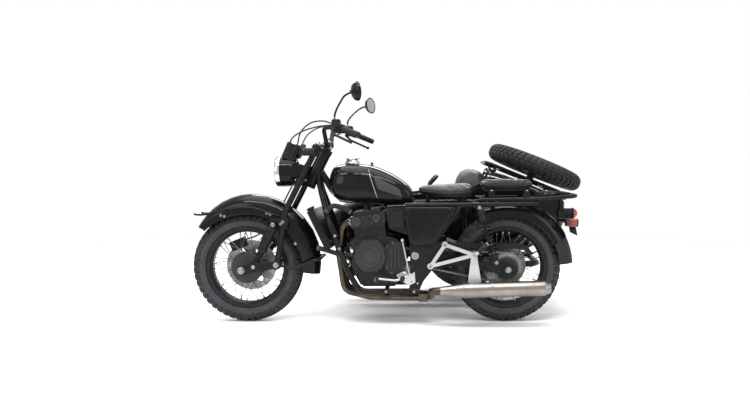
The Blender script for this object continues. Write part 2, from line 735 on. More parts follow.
def tread_block(shape, spot, rails, depth):
    """One block of tread between two rails of (turn in mm, place across)."""
    rings = []
    for (u0, w), (u1, _) in zip(*rails):
        rings.append([spot(u0 - BLOCK_DRAFT, w, depth + 1), spot(u0, w, BLOCK_ROUND), spot(u0 + 1.2, w, 0),
                      spot(u1 - 1.2, w, 0), spot(u1, w, BLOCK_ROUND), spot(u1 + BLOCK_DRAFT, w, depth + 1)])
    shape.loft(rings)


def build_tyre(node, body, hub, axis, pitches, depth):
    """A carcass with rows of tread blocks on its crown and shoulders."""
    shape = Shape()
    shape.turn(tyre_profile(depth), hub, axis, 120, closed=True, finish=1)
    side, up = basis(axis)
    pitch = 2 * math.pi * WHEEL_R / pitches

    def spot(u, w, down):
        r, across = below_tread(w, down)
        a = u / WHEEL_R
        return hub + r * at_angle(a, side, up) + across * axis

    for k in range(pitches):
        for s in (1, -1):
            for start, share, across, skew in SHOULDER_BLOCK, CROWN_BLOCK:
                first = pitch * (k + start + (0 if s > 0 else 0.5))
                tread_block(shape, spot, [[(first + part + d, s * w) for w, d in zip(across, skew)]
                                          for part in (0, pitch * share)], depth)
    # Moulding vents left on the shoulder
    for ray in rays(pitches, side, up, 0.5)[::3]:
        for s in (1, -1):
            foot = hub + (SIDE_C + 31) * ray + s * 45.5 * axis
            shape.tube([foot, foot + 2.2 * ray + s * 1.6 * axis], 0.6, 5)
    shape.piece(node + "_tread", body, ["tread", "sidewall"], "tyre", [node], crease=32)


# Wheels

VALVE_ANGLE = 205


def spoke_ends(hub, axis, across, up):
    """Where each spoke starts at the hub and ends in the rim."""
    for s in (-1, 1):
        for i in range(SPOKES_PER_SIDE):
            lead = 1 if i % 2 == 0 else -1
            a = 2 * math.pi / SPOKES_PER_SIDE * (i + (0 if s > 0 else 0.5))
            b = a + lead * math.radians(26)
            foot, head = HUB_R - 5, RIM_INNER_R + 6
            yield (hub + foot * at_angle(a, across, up) + s * (34 + lead * 6) * axis,
                   hub + head * at_angle(b, across, up) + (s * 7 + lead * 3) * axis)


def build_wheel_trim(name, body, hub, axis, disc_side):
    """Nipples, valve and hub bolts."""
    across = X_AXIS if abs(axis.y) > 0.9 else Vector((math.cos(SPARE_TILT), 0, math.sin(SPARE_TILT)))
    up = -Z_AXIS if abs(axis.y) > 0.9 else Y_AXIS
    shape = Shape()
    for foot, head in spoke_ends(hub, axis, across, up):
        way = (foot - head).normalized()
        shape.turn([(4.6, 4.5), (4.6, 7), (3.9, 8), (3.6, 22), (2.4, 23)], head, way, 8)
        shape.turn([(3.6, -2), (4.4, 2), (3.2, 8), (2.3, 13)], foot, -way, 8)
    ray = at_angle(math.radians(VALVE_ANGLE), across, up)
    shape.turn([(5.5, 0), (5.5, 4), (3, 5), (3, 24), (4, 25), (4, 34), (2.5, 36)],
               hub + (RIM_INNER_R + 2) * ray, -ray, 12, finish=1)
    if disc_side:
        for ray in rays(6, across, up, 0.5):
            shape.bolt(hub + 58 * ray + disc_side * 65 * axis, disc_side * axis, 7)
    else:
        for ray in rays(8, across, up):
            for s in (1, -1):
                shape.bolt(hub + 62 * ray + s * 41 * axis, s * axis, 6)
    shape.piece(name + "_wheel_trim", body, ["bright_steel", "soft_rubber"], "wheel_black")


# Seats: padded pieces with a cover that presses out between its seams

def islands(work):
    """The loose parts of a mesh, from the rearmost to the foremost."""
    left = set(work.verts)
    parts = []
    while left:
        part, edge = set(), [left.pop()]
        while edge:
            v = edge.pop()
            part.add(v)
            edge += [e.other_vert(v) for e in v.link_edges if e.other_vert(v) not in part]
        left -= part
        parts.append(part)
    return sorted(parts, key=lambda part: sum(v.co.x for v in part) / len(part))


def soft_mesh(node, voxel, keep=None):
    """A fine even mesh of a CAD solid, rounded over. keep is the number of one of the node's solids."""
    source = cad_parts[node].data
    work = bmesh.new()
    work.from_mesh(source)
    bmesh.ops.remove_doubles(work, verts=work.verts, dist=1e-5)
    if keep is not None:
        part = islands(work)[keep]
        bmesh.ops.delete(work, geom=[v for v in work.verts if v not in part], context="VERTS")
    mesh = bpy.data.meshes.new("soft")
    work.to_mesh(mesh)
    work.free()
    piece = bpy.data.objects.new("soft", mesh)
    bpy.context.scene.collection.objects.link(piece)
    fine = piece.modifiers.new("fine", "REMESH")
    fine.mode = "VOXEL"
    fine.voxel_size = voxel * MM
    rounded = piece.modifiers.new("rounded", "SMOOTH")
    rounded.factor = 0.5
    rounded.iterations = 10
    ready = bpy.data.meshes.new_from_object(piece.evaluated_get(bpy.context.evaluated_depsgraph_get()))
    bpy.data.objects.remove(piece)
    return ready


def press_in(mesh, groove, slack):
    """Draws the cover in along its seams, and starts it a little small. Returns how firmly each point is held."""
    normals = [v.normal.copy() for v in mesh.vertices]
    held = []
    for v, normal in zip(mesh.vertices, normals):
        deep, firm = groove(to_machine(v.co), normal)
        v.co -= normal * (deep + slack) * MM
        held.append(firm)
    return held


def inflate(piece, held, pressure, most):
    """Lets the cover press out for twenty frames, held at its seams, and keeps the result."""
    start = np.empty(len(piece.data.vertices) * 3)
    piece.data.vertices.foreach_get("co", start)
    group = piece.vertex_groups.new(name="held")
    for k, firm in enumerate(held):
        if firm > 0.02:
            group.add([k], firm, "REPLACE")
    cloth = piece.modifiers.new("cover", "CLOTH")
    cloth.settings.use_pressure = True
    cloth.settings.uniform_pressure_force = pressure
    cloth.settings.vertex_group_mass = "held"
    cloth.settings.effector_weights.gravity = 0
    cloth.settings.mass = 0.25
    cloth.settings.quality = 4
    cloth.settings.tension_stiffness = 18
    cloth.settings.compression_stiffness = 18
    cloth.settings.bending_stiffness = 1.2
    cloth.collision_settings.use_collision = False
    cloth.point_cache.frame_start = 1
    cloth.point_cache.frame_end = 20
    for number in range(1, 21):
        bpy.context.scene.frame_set(number)
    shaped = piece.evaluated_get(bpy.context.evaluated_depsgraph_get())
    end = np.empty_like(start)
    shaped.data.vertices.foreach_get("co", end)
    piece.modifiers.remove(cloth)
    bpy.context.scene.frame_set(1)
    move = (end - start).reshape(-1, 3)
    length = np.maximum(np.linalg.norm(move, axis=1, keepdims=True), 1e-9)
    move *= np.minimum(1, most * MM / length)
    piece.data.vertices.foreach_set("co", start + move.ravel())
    piece.data.update()


def pad(name, node, body, voxel, groove, props, keep=None, stands_for=()):
    """Makes a padded piece from a CAD solid. Returns a ray caster on its cover."""
    mesh = soft_mesh(node, voxel, keep)
    held = press_in(mesh, groove, props.slack / MM)
    mesh.materials.clear()
    mesh.materials.append(FINISH["leather"])
    piece = add_piece(name, mesh, body, stands_for, crease=180)
    inflate(piece, held, props.pressure, props.reach / MM)
    tree = BVHTree.FromPolygons([v.co for v in mesh.vertices], [list(p.vertices) for p in mesh.polygons])
    finer = piece.modifiers.new("finer", "SUBSURF")
    finer.levels = 1
    finer.render_levels = 1
    return tree


def girdle(tree, centre, across, up, count=90, lift=0.6):
    """A line round a piece where a plane through its middle cuts it."""
    path = []
    for k in range(count):
        a = 2 * math.pi * k / count
        way = at_angle(a, across, up)
        hit = touch(tree, Vector(centre) + 700 * way, -way)
        if hit:
            path.append(hit[0] + lift * hit[1])
    return path


def stitches(shape, path, spacing=9, length=5.5, radius=0.8):
    """Short threads laid along a closed line."""
    left = 0
    for a, b in zip(path, path[1:] + path[:1]):
        span = (b - a).length
        while left < span:
            p = a.lerp(b, left / span)
            way = (b - a).normalized()
            shape.tube([p - way * length / 2, p, p + way * length / 2], [radius * 0.5, radius, radius * 0.5], 5)
            left += spacing
        left -= span


def bell(distance, width):
    """1 at no distance, and less the further away."""
    return math.exp(-(distance / width) ** 2)


def saddle_groove(p, normal):
    """A seam round the dome above the skirt, and the flat base."""
    if normal.z < -0.6:
        return 0, 1
    line = 782 - 12 * math.sin(max(0, min(1, (p.x - 200) / 310)) * math.pi)
    seam = bell(p.z - line, 3.2)
    return 3.4 * seam, seam


def pillion_groove(p, normal):
    """Cross pleats over the top and a seam round its edge."""
    if normal.z < -0.6:
        return 0, 1
    edge = bell(p.z - 836, 2.6) if normal.z < 0.8 else 0
    across = max(0, normal.z - 0.25)
    pleat = max(bell(p.x - x, 5) for x in (-104, -69, -34, 1, 36, 71, 106)) * min(1, across * 3) if across else 0
    return 6 * pleat + 2.5 * edge, max(pleat, edge)


FLUTES = [-155, -93, -31, 31, 93, 155]


def cushion_groove(p, normal):
    """Flutes from front to back and a seam round the top."""
    if normal.z < -0.6:
        return 0, 1
    inner = bell(max(0, abs(p.x - 400) - 150), 12)
    flute = max(bell(p.y - TUB_Y - y, 6) for y in FLUTES) * inner if normal.z > 0.5 else 0
    edge = bell(p.z - 474, 3) if normal.z < 0.75 else 0
    return 8 * flute + 3 * edge, max(flute, edge)


def backrest_groove(p, normal):
    """Upright flutes on the front."""
    if normal.x < -0.6:
        return 0, 1
    inner = bell(max(0, abs(p.z - 690) - 110), 14)
    flute = max(bell(p.y - TUB_Y - y, 6) for y in FLUTES) * inner if normal.x > 0.5 else 0
    return 8 * flute, flute


def build_saddle(props):
    """The rider's saddle, its piping and two rows of stitches."""
    cover = pad("saddle_cover", "rider_saddle", "chassis", 5, saddle_groove, props, stands_for=["rider_saddle"])
    shape = Shape()
    low = girdle(cover, (352, 0, 747), X_AXIS, Y_AXIS, lift=0.2)
    shape.tube(low, props.piping / MM, 8, closed=True)
    for level in (779, 787):
        stitches(shape, girdle(cover, (352, 0, level - 8), X_AXIS, Y_AXIS, 120, 0.2))
    shape.piece("saddle_piping", "chassis", ["piping"], "seat", crease=60)


def build_pillion(props):
    """The pleated pad, its piping and a row of stitches."""
    cover = pad("pillion_cover", "pillion_pad", "chassis", 5, pillion_groove, props, stands_for=["pillion_pad"])
    shape = Shape()
    for level in (836, 796):
        shape.tube(girdle(cover, (2, 0, level), X_AXIS, Y_AXIS, 110, 0.4), props.piping / MM, 8, closed=True)
    stitches(shape, girdle(cover, (2, 0, 829), X_AXIS, Y_AXIS, 110, 0.2))
    shape.piece("pillion_piping", "chassis", ["piping"], "seat", crease=60)


def build_sidecar_seat(props):
    """Cushion and backrest with flutes, piping and stitches."""
    cover = pad("sidecar_cushion", "sidecar_seat", "chassis", 6, cushion_groove, props, keep=1,
                stands_for=["sidecar_seat"])
    shape = Shape()
    shape.tube(girdle(cover, (400, TUB_Y, 476), X_AXIS, Y_AXIS, 120), props.piping / MM, 8, closed=True)
    stitches(shape, girdle(cover, (400, TUB_Y, 464), X_AXIS, Y_AXIS, 120, 0.2))
    back = pad("sidecar_backrest", "sidecar_seat", "chassis", 6, backrest_groove, props, keep=0)
    shape.tube(girdle(back, (236, TUB_Y, 695), Y_AXIS, Z_AXIS, 120), props.piping / MM, 8, closed=True)
    stitches(shape, girdle(back, (222, TUB_Y, 695), Y_AXIS, Z_AXIS, 120, 0.2))
    shape.piece("sidecar_seat_piping", "chassis", ["piping"], "seat", crease=60)


PANEL_MIDDLE = Vector((468, 592))


def panel_ring(outline, inset):
    """The outline drawn in towards its middle."""
    return [p + (PANEL_MIDDLE - p) * inset / 150 for p in outline]


SIDE_PANEL = [(596, 688), (312, 688), (300, 676), (424, 474), (548, 466), (566, 480), (584, 600), (598, 640)]


def smooth_outline(outline, cut=10, steps=4):
    """An outline whose corners are rounded."""
    count = len(outline)
    path = []
    for k in range(count):
        a, b, c = (Vector(outline[(k + d) % count]) for d in (-1, 0, 1))
        near = min(cut, (a - b).length * 0.45), min(cut, (c - b).length * 0.45)
        p, q = b + (a - b).normalized() * near[0], b + (c - b).normalized() * near[1]
        for i in range(steps + 1):
            t = i / steps
            path.append(p * (1 - t) ** 2 + b * 2 * t * (1 - t) + q * t * t)
    return path


def build_side_panels():
    """Pressed covers with a rounded edge, a raised middle and three screws each."""
    shape = Shape()
    for s in (1, -1):
        path = smooth_outline(SIDE_PANEL)
        steps = [(0, 163.6), (0, 167), (4, 171), (14, 173.4), (40, 175), (80, 176), (120, 176.6), (146, 176.8)]
        rings = [[Vector((p.x, s * y, p.y)) for p in panel_ring(path, inset)] for inset, y in steps]
        shape.loft(rings)
        for x, z in ((574, 672), (335, 674), (535, 482)):
            shape.cap_screw((x, s * 171.4, z), (0, s, 0), 6, finish=1)
    shape.piece("side_covers", "chassis", ["gloss_paint", "cover_grey"], "gloss_black", ["side_panels"], crease=50)


# Springs, chain, grips, mirrors and lamps

SHOCK_TOP = Vector((170, 172, 684))
SHOCK_FOOT = Vector((72, 172, 373))


def build_rear_shocks():
    """Dampers with coil springs, their eyes and bolts."""
    shape = Shape()
    for turn_over in (Vector, flip):
        top, foot = turn_over(SHOCK_TOP), turn_over(SHOCK_FOOT)
        way = (foot - top).normalized()
        length = (foot - top).length
        out = Y_AXIS if top.y > 0 else -Y_AXIS
        for eye in (top, foot):
            shape.turn([(8, -12), (14, -12), (16, -10), (16, 10), (14, 12), (8, 12)], eye, out, 28)
            shape.turn([(13, 10), (13, 12.5), (8, 12.5)], eye, out, 24, finish=2)
            shape.bolt(eye + 12.4 * out, out, 10, finish=1)
        shape.turn([(10, 12), (18, 16), (22, 22), (22, 64), (24, 66), (24, 70), (9, 70)], top, way, 32)
        shape.turn([(9, 68), (9, 170), (17, 172), (18, 176), (18, length - 40)], top, way, 28)
        shape.turn([(12, length - 66), (28, length - 64), (28.5, length - 56), (22, length - 52), (22, length - 22),
                    (16, length - 14), (9, length - 12)], top, way, 32)
        for ray in rays(8, *basis(way)):
            shape.block(top + (length - 60) * way + 27 * ray, (5, 5, 7), finish=1)
        shape.helix(top + 70 * way, top + (length - 62) * way, 24.6, 4.3, 9.5, finish=3)
    shape.piece("rear_springs", "chassis", ["frame_paint", "bright_steel", "soft_rubber", "gloss_paint"],
                "satin_black", ["rear_shocks"])


CHAIN_Y = 74
CHAIN_PITCH = 15.875
PINION = Vector((612, CHAIN_Y, 402))
PINION_R = 41
SPROCKET_R = CHAIN_PITCH / 2 / math.sin(math.pi / 36)


def chain_line():
    """The pins of the chain, one pitch apart."""
    span_way = Vector((PINION.x - REAR_HUB.x, 0, PINION.z - REAR_HUB.z))
    span = span_way.length
    ahead = span_way.normalized()
    up = Vector((-ahead.z, 0, ahead.x))
    lean = math.pi / 2 - math.asin((SPROCKET_R - PINION_R) / span)
    straight = math.sqrt(span ** 2 - (SPROCKET_R - PINION_R) ** 2)
    parts = [straight, 2 * lean * PINION_R, straight, (2 * math.pi - 2 * lean) * SPROCKET_R]
    centre = Vector((REAR_HUB.x, CHAIN_Y, REAR_HUB.z))

    def at(s):
        """The point at a distance along the chain: a radius and an angle about a centre between the sprockets."""
        if s < parts[0]:
            t = s / straight
            r, c, a = SPROCKET_R + (PINION_R - SPROCKET_R) * t, span * t, lean
        elif s < parts[0] + parts[1]:
            r, c, a = PINION_R, span, lean - (s - parts[0]) / PINION_R
        elif s < sum(parts[:3]):
            t = (s - parts[0] - parts[1]) / straight
            r, c, a = PINION_R + (SPROCKET_R - PINION_R) * t, span * (1 - t), -lean
        else:
            r, c, a = SPROCKET_R, 0, -lean - (s - sum(parts[:3])) / SPROCKET_R
        return centre + c * ahead + r * at_angle(a, ahead, up)

    total = sum(parts)
    count = 2 * round(total / CHAIN_PITCH / 2)
    return [at(total * k / count) for k in range(count)]


def build_chain():
    """Inner and outer links in turn, with rollers and pins."""
    shape = Shape()
    pins = chain_line()
    for k, p in enumerate(pins):
        q = pins[(k + 1) % len(pins)]
        way = (q - p).normalized()
        lift = way.cross(Y_AXIS)
        outline = []
        for centre, turn in ((q, 0), (p, math.pi)):
            for i in range(7):
                a = turn + math.radians(-78 + 26 * i)
                outline.append(centre + 6 * at_angle(a, way, lift))
            outline.append(p.lerp(q, 0.5) + (4.4 if turn == 0 else -4.4) * lift)
        near, far = (6.0, 7.7) if k % 2 else (8.4, 10.2)
        for s in (1, -1):
            shape.loft([[v + s * y * Y_AXIS for v in outline] for y in (near, far)])
        shape.turn([(5, -5.8), (5, 5.8)], p, Y_AXIS, 10, finish=1)
        shape.turn([(2.4, -10.6), (2.4, 10.6)], p, Y_AXIS, 8, finish=1)
    shape.piece("chain_links", "chassis", ["chain_steel", "disc_steel"], "stainless", ["drive_chain"])


GRIP_IN = Vector((957, 262, 1135))
GRIP_END = Vector((828, 422, 1082))


def build_grips():
    """Ribbed rubber with an end plug."""
    shape = Shape()
    for turn_over in (Vector, flip):
        start, end = turn_over(GRIP_IN), turn_over(GRIP_END)
        way = (end - start).normalized()
        long = (end - start).length
        profile = [(12.4, 66), (16.8, 66), (17, 70), (15.2, 72)]
        for k in range(13):
            h = 76 + 10 * k
            profile += [(15.2, h), (16.6, h + 1.2), (16.6, h + 6.6), (15.2, h + 7.8)]
        profile += [(15.6, long), (17, long + 2), (17, long + 6), (15, long + 8), (12.4, long + 8)]
        shape.turn(profile, start, way, 28)
        shape.turn([(4, long + 1), (12.2, long + 1), (12.2, long + 6.5), (10, long + 8), (4, long + 7)],
                   start, way, 24, finish=1)
    shape.piece("ribbed_grips", "steering", ["soft_rubber", "plastic"], "rubber", ["grips"])


MIRROR = Vector((832, 400, 1310))
MIRROR_STEM = [(966, 282, 1164.4), (966, 282, 1178), (965, 283, 1200), (948, 308, 1232), (926, 341, 1260),
               (902, 376, 1286), (874, 391, 1300), (842, 403, 1308)]


def build_mirrors():
    """Round heads on bent stems."""
    shape = Shape()
    for turn_over in (Vector, flip):
        facing = turn_over(Vector((-0.878, -0.467, 0.1045)).normalized())
        centre = turn_over(MIRROR)
        shape.turn([(2, -30), (9, -29.6), (18, -28), (28, -24.6), (36, -20.6), (43, -15), (48, -8.6), (51, -1),
                    (52, 3.4), (51, 4.4), (48, 4.4), (47.4, 3)], centre, facing, 48)
        shape.turn([(47.6, 2.8), (40, 3.3), (26, 3.7), (12, 3.9), (1, 4)], centre, facing, 48, finish=1)
        shape.tube(smooth_path([turn_over(Vector(p)) for p in MIRROR_STEM], 5), 5.4, 12)
        foot = turn_over(Vector(MIRROR_STEM[0]))
        shape.turn([(9, 0.2), (9, 9), (7.5, 10.5), (5.4, 11)], foot, Z_AXIS, 6, finish=2)
        shape.turn([(9, 12), (9, 17), (7.5, 18), (5.4, 18.4)], foot, Z_AXIS, 6, finish=2)
        shape.turn([(6, -38), (10, -36), (11, -30), (12, -27)], centre, facing, 20)
    shape.piece("mirror_heads", "steering", ["gloss_paint", "mirror_glass", "bright_steel"], "gloss_black",
                ["mirrors"])


LENS_R = 77
LENS_BALL_R = 168
LENS_BALL_BACK = 149.6


def lens_rise(r):
    """How far the glass stands ahead of the ring, at a radius."""
    return math.sqrt(LENS_BALL_R ** 2 - r * r) - LENS_BALL_BACK


def build_headlamp():
    """Fluted glass, a polished bowl behind it and a bulb."""
    side, up = basis(LAMP_OUT)
    steps = 96
    radii = [0.4] + [LENS_R * k / 22 for k in range(1, 23)]

    def ring(r, thick):
        points = []
        for k in range(steps):
            a = 2 * math.pi * k / steps
            y = r * math.cos(a)
            flute = 1.1 * abs(math.sin(math.pi * y / 11)) if thick else 0
            points.append(LAMP + r * at_angle(a, side, up) + (lens_rise(r) - thick - flute) * LAMP_OUT)
        return points

    shape = Shape()
    shape.loft([ring(r, 0) for r in radii] + [ring(r, 3.2) for r in radii[::-1]])
    shape.piece("lamp_glass", "steering", ["clear_glass"], "lens_clear", ["headlamp_lens"], crease=50)
    bowl = Shape()
    hollow = [(73.4 * k / 16, -56.6 + 56 * (k / 16) ** 2) for k in range(2, 17)]
    bowl.turn(hollow + [(r, h - 0.7) for r, h in hollow[::-1]], LAMP, LAMP_OUT, 64, closed=True)
    bowl.turn([(3, -56), (8, -55), (8, -36), (10.5, -34), (11, -18), (8, -12), (2, -10)], LAMP, LAMP_OUT, 20)
    bowl.turn([(11.4, -31), (12.4, -28), (12.4, -22), (11.4, -20)], LAMP, LAMP_OUT, 20, finish=1)
    for arm in rays(3, side, up):
        bowl.tube([LAMP + 12 * arm - 25 * LAMP_OUT, LAMP + 60 * arm - 17 * LAMP_OUT], 1.6, 8, finish=1)
    bowl.cap_screw(LAMP - 88 * Z_AXIS + 5 * X_AXIS, -Z_AXIS, 5)
    bowl.piece("lamp_bowl", "steering", ["chrome", "bright_steel"], "chrome_cap")


def build_dial():
    """Speed dial on the top of the instrument case, with a plain scale and no figures."""
    lean = math.radians(24)
    ahead = Vector((math.cos(lean), 0, math.sin(lean)))
    rise = Vector((-math.sin(lean), 0, math.cos(lean)))
    centre = LAMP + Vector((-52, 0, 76)) - 7 * ahead + 96 * rise
    shape = Shape()
    shape.turn([(35, -1), (35.5, 3), (34, 6), (31.5, 6.4), (30.5, 3)], centre, rise, 48, finish=3)
    shape.turn([(31, 2), (30.8, 2.9), (1, 3)], centre, rise, 48)
    for k in range(25):
        ray = at_angle(math.radians(-135 + 270 * k / 24), ahead, Y_AXIS)
        inner, thick = (21, 0.7) if k % 4 == 0 else (25, 0.45)
        shape.tube([centre + inner * ray + 3.3 * rise, centre + 28.5 * ray + 3.3 * rise], thick, 5, finish=1)
    ray = at_angle(math.radians(-128), ahead, Y_AXIS)
    shape.tube([centre - 6 * ray + 4.4 * rise, centre + 24 * ray + 4.4 * rise], [1.6, 0.5], 6, finish=2)
    shape.turn([(4, 2.6), (4, 5.4), (2, 6)], centre, rise, 16)
    for k, finish in enumerate((2, 1, 1)):
        shape.turn([(4.2, 0), (4.2, 1.4), (3, 2)], centre + (k - 1) * 26 * Y_AXIS - 40 * ahead - 9 * rise, -ahead, 14,
                   finish=finish)
    shape.piece("speed_dial", "steering", ["dial_face", "dial_mark", "hand_red", "chrome"], "black_plastic")


# Trim on the engine, tank, fenders, exhaust, bars, frame and tub

HEAD_LEAN = math.radians(10)


def on_head(x, y, z):
    """A place on the cylinders, which lean forward."""
    return Vector((784 + x * math.cos(HEAD_LEAN) + z * math.sin(HEAD_LEAN), y,
                   470 - x * math.sin(HEAD_LEAN) + z * math.cos(HEAD_LEAN)))


def build_engine_trim():
    """Fins, caps, screws, leads and hoses on the engine."""
    shape = Shape()
    lean = Matrix.Rotation(HEAD_LEAN, 3, "Y")
    up = on_head(0, 0, 1) - on_head(0, 0, 0)
    for s in (1, -1):
        out = Vector((0, s, 0))
        for k in range(8):
            shape.block(on_head(-3, s * 108.5, 10 + 12 * k), (174, 9, 4), lean)
        for x, r in ((62, 27), (-52, 24)):
            shape.turn([(r, 0), (r, 8), (r - 4, 11), (r - 9, 11), (r - 11, 8), (4, 8)],
                       on_head(x, s * 113.5, 141), out, 32, finish=1)
            for k in range(3):
                a = 2 * math.pi * (k + 0.25) / 3
                shape.cap_screw(on_head(x + (r - 6) * math.cos(a), s * 124, 141 + (r - 6) * math.sin(a)), out, 4.5,
                                finish=2)
        for x in (-88, -20, 22, 86):
            shape.cap_screw(on_head(x, s * 113.8, 119), out, 5.5, finish=2)
            shape.cap_screw(on_head(x * 0.95, s * 113.8, 163), out, 5, finish=2)
        for x in range(-70, 80, 35):
            shape.bolt(on_head(x, s * 86, 195.8), up, 6, finish=2)
        for x, z in ((652, 250), (700, 248), (752, 248), (806, 248), (846, 262), (874, 330), (886, 400), (870, 452)):
            shape.cap_screw((x, s * 117.8, z), out, 6, finish=2)
        shape.tube(smooth_path([on_head(0, s * 48, 200), on_head(-6, s * 50, 222), on_head(-40, s * 66, 232),
                                on_head(-96, s * 84, 214), on_head(-118, s * 92, 178)], 6), 4.5, 8, finish=3)
        shape.turn([(13, 0), (13, 14), (10, 24), (6, 26)], on_head(0, s * 48, 200), up, 16, finish=3)
    # Round cover on the left: raised rim, ring of screws, plain middle
    for profile in ([(79, 168.6), (79, 171), (82, 172.5), (83.6, 171), (83.6, 168.6)],
                    [(60, 168.6), (60, 172), (58, 179.8), (56, 181.5), (52, 181.5), (50, 179.8)]):
        shape.turn(profile, ROUND_COVER, Y_AXIS, 64, finish=1)
    for ray in rays(8, X_AXIS, Z_AXIS, 0.5):
        shape.turn([(8.5, 138), (8.5, 148), (7, 150)], ROUND_COVER + 89 * ray, Y_AXIS, 14, finish=1)
        shape.cap_screw(ROUND_COVER + 89 * ray + 149.6 * Y_AXIS, Y_AXIS, 6, finish=2)
    # Chain cover: upright ribs and screws
    for x in (626, 648, 670):
        shape.block((x, 163, 396), (7, 7, 128), finish=1)
    for x, z in ((600, 336), (668, 312), (694, 344), (692, 460), (660, 482), (600, 468)):
        shape.turn([(9, -6), (9, 2.6), (7, 3.6)], (x, 161.8, z), Y_AXIS, 14)
        shape.cap_screw((x, 164.6, z), Y_AXIS, 6, finish=2)
    # Clutch cover on the right: screws, filler and sight glass
    cover = Vector((760, -163, 396))
    for ray in rays(9, X_AXIS, Z_AXIS):
        shape.cap_screw(cover + 97 * ray, -Y_AXIS, 6, finish=2)
    shape.turn([(76, -0.4), (76, 1.6), (73, 2.4), (70, 1.6), (70, -0.4)], cover, -Y_AXIS, 56, finish=1)
    shape.turn([(15, 0), (15, 4), (12, 5), (11, 3), (2, 3)], cover + Vector((-52, 9, -70)), -Y_AXIS, 24, finish=2)
    shape.turn([(16, 0), (16, 10), (13, 12), (4, 12)], (812, -118, 492), Vector((0, -0.6, 0.8)), 10, finish=1)
    # Hoses between radiator, head and sump, with clips
    for path, r in (([(1050, 118, 654), (1008, 112, 690), (950, 96, 678), (905, 84, 652)], 15),
                    ([(1100, 120, 452), (1040, 124, 436), (960, 104, 408), (898, 84, 404)], 14),
                    ([(908, 20, 470), (934, 34, 440), (926, 36, 380), (896, 30, 352)], 8)):
        line = smooth_path(path, 8)
        shape.tube(line, r, 14, finish=3)
        for a, b in ((line[1], line[2]), (line[-3], line[-2])):
            way = (b - a).normalized()
            shape.turn([(r + 0.4, 0), (r + 1.6, 0.6), (r + 1.6, 8), (r + 0.4, 8.6)], a, way, 20, finish=2)
    # Throttle bodies behind the head
    for y in (-52, 52):
        start = on_head(-112, y, 141)
        shape.turn([(24, 0), (27, 4), (27, 12), (22, 16), (21, 40)], start, Vector((-1, 0, 0.05)), 24, finish=3)
        shape.turn([(28, 4), (29, 5), (29, 10), (28, 11)], start, Vector((-1, 0, 0.05)), 24, finish=2)
    shape.piece("engine_trim", "chassis", ["cast_black", "cover_grey", "fins", "soft_rubber"], "engine_black")


def laid_line(tree, places, side, lift):
    """Points (x, z) laid on the side of a piece."""
    path = []
    for x, z in places:
        hit = touch(tree, (x, side * 600, z), (0, -side, 0))
        if hit:
            path.append(hit[0] + lift * hit[1])
    return path


TANK_CREASE = [(800, 900), (797, 884), (786, 846), (771, 800), (757, 757), (748, 730)]
KNEE_PAD = [(776, 866), (626, 790), (604, 738), (748, 786)]


def build_tank_trim():
    """Crease bead, knee pads, bottom seam, cap rim and fuel knob."""
    tank = surface_of("fuel_tank")
    shape = Shape()
    for s in (1, -1):
        crease = laid_line(tank, [(p.x, p.z) for p in smooth_path([(x, 0, z) for x, z in TANK_CREASE], 5)], s, 0.6)
        count = len(crease)
        shape.tube(crease, [0.6 + 1.6 * math.sin(math.pi * (k + 0.5) / count) for k in range(count)], 8, finish=2)
        seam = laid_line(tank, [(x, 709 - 10 * bell(x - 700, 90) + max(0, x - 960) * 0.45)
                                for x in range(588, 1012, 8)], s, 0.4)
        shape.tube(seam, 3.6, 8)
        a, b, c, d = (Vector((x, z)) for x, z in KNEE_PAD)
        rows, columns = 9, 22
        top = []
        for i in range(rows + 1):
            for j in range(columns + 1):
                u, v = j / columns, i / rows
                flat = a.lerp(b, u).lerp(d.lerp(c, u), v)
                hit = touch(tank, (flat.x, s * 600, flat.y), (0, -s, 0))
                edge = min(u, 1 - u, v * 0.4, (1 - v) * 0.4)
                rise = 3.4 * min(1, edge / 0.045) + 0.9 * max(0, math.sin(v * math.pi * 5)) * min(1, edge / 0.09)
                top.append(hit[0] + (rise - 0.3) * hit[1])
        width = columns + 1
        shape.add(top, [[i * width + j, i * width + j + 1, (i + 1) * width + j + 1, (i + 1) * width + j]
                        for i in range(rows) for j in range(columns)], finish=1)
    shape.turn([(44, 0), (46, 2), (46, 5), (43, 6.5), (41, 5)], (905, 0, 933.6), Z_AXIS, 48, finish=2)
    shape.turn([(38, 26), (44, 28), (45, 31), (43, 33), (34, 34.6), (3, 35.4)], (905, 0, 934), Z_AXIS, 48, finish=2)
    shape.turn([(9, -6), (9, 4), (5, 6), (5, 10), (8, 11), (8, 17), (6, 19), (1, 19.5)], (790, 0, 922), Z_AXIS, 20,
               finish=3)
    shape.piece("tank_trim", "chassis", ["gloss_paint", "sidewall", "chrome", "plastic"], "gloss_black")


FENDER_BACK_R = 404
FRONT_RAIL = [(1822, 640), (1790, 636), (1731, 643), (1628, 669), (1501, 681), (1398, 657), (1306, 623)]


def front_fender_edge(degrees, s):
    """The lower edge of the front fender at an angle round the wheel."""
    a = math.radians(degrees)
    ahead = max(0, 90 - degrees) / 62
    rear = max(0, degrees - 150) / 40
    r, rise = (350, 82) if degrees < 90 else (FENDER_BACK_R, 28)
    down = 76 - 50 * ahead ** 2 + 40 - 12 * ahead - 22 * rear
    half = 86 - 8 * ahead - 10 * rear - 1.5
    return FRONT_HUB + Vector((-27 + (r - down) * math.cos(a), s * half, rise + (r - down) * math.sin(a)))


def arc_edge(hub, r, y, start, end, count):
    """Points on an arc about an axle, from one angle to another in degrees."""
    return [hub + Vector((r * math.cos(a), y, r * math.sin(a))) for a in
            (math.radians(start + (end - start) * k / count) for k in range(count + 1))]


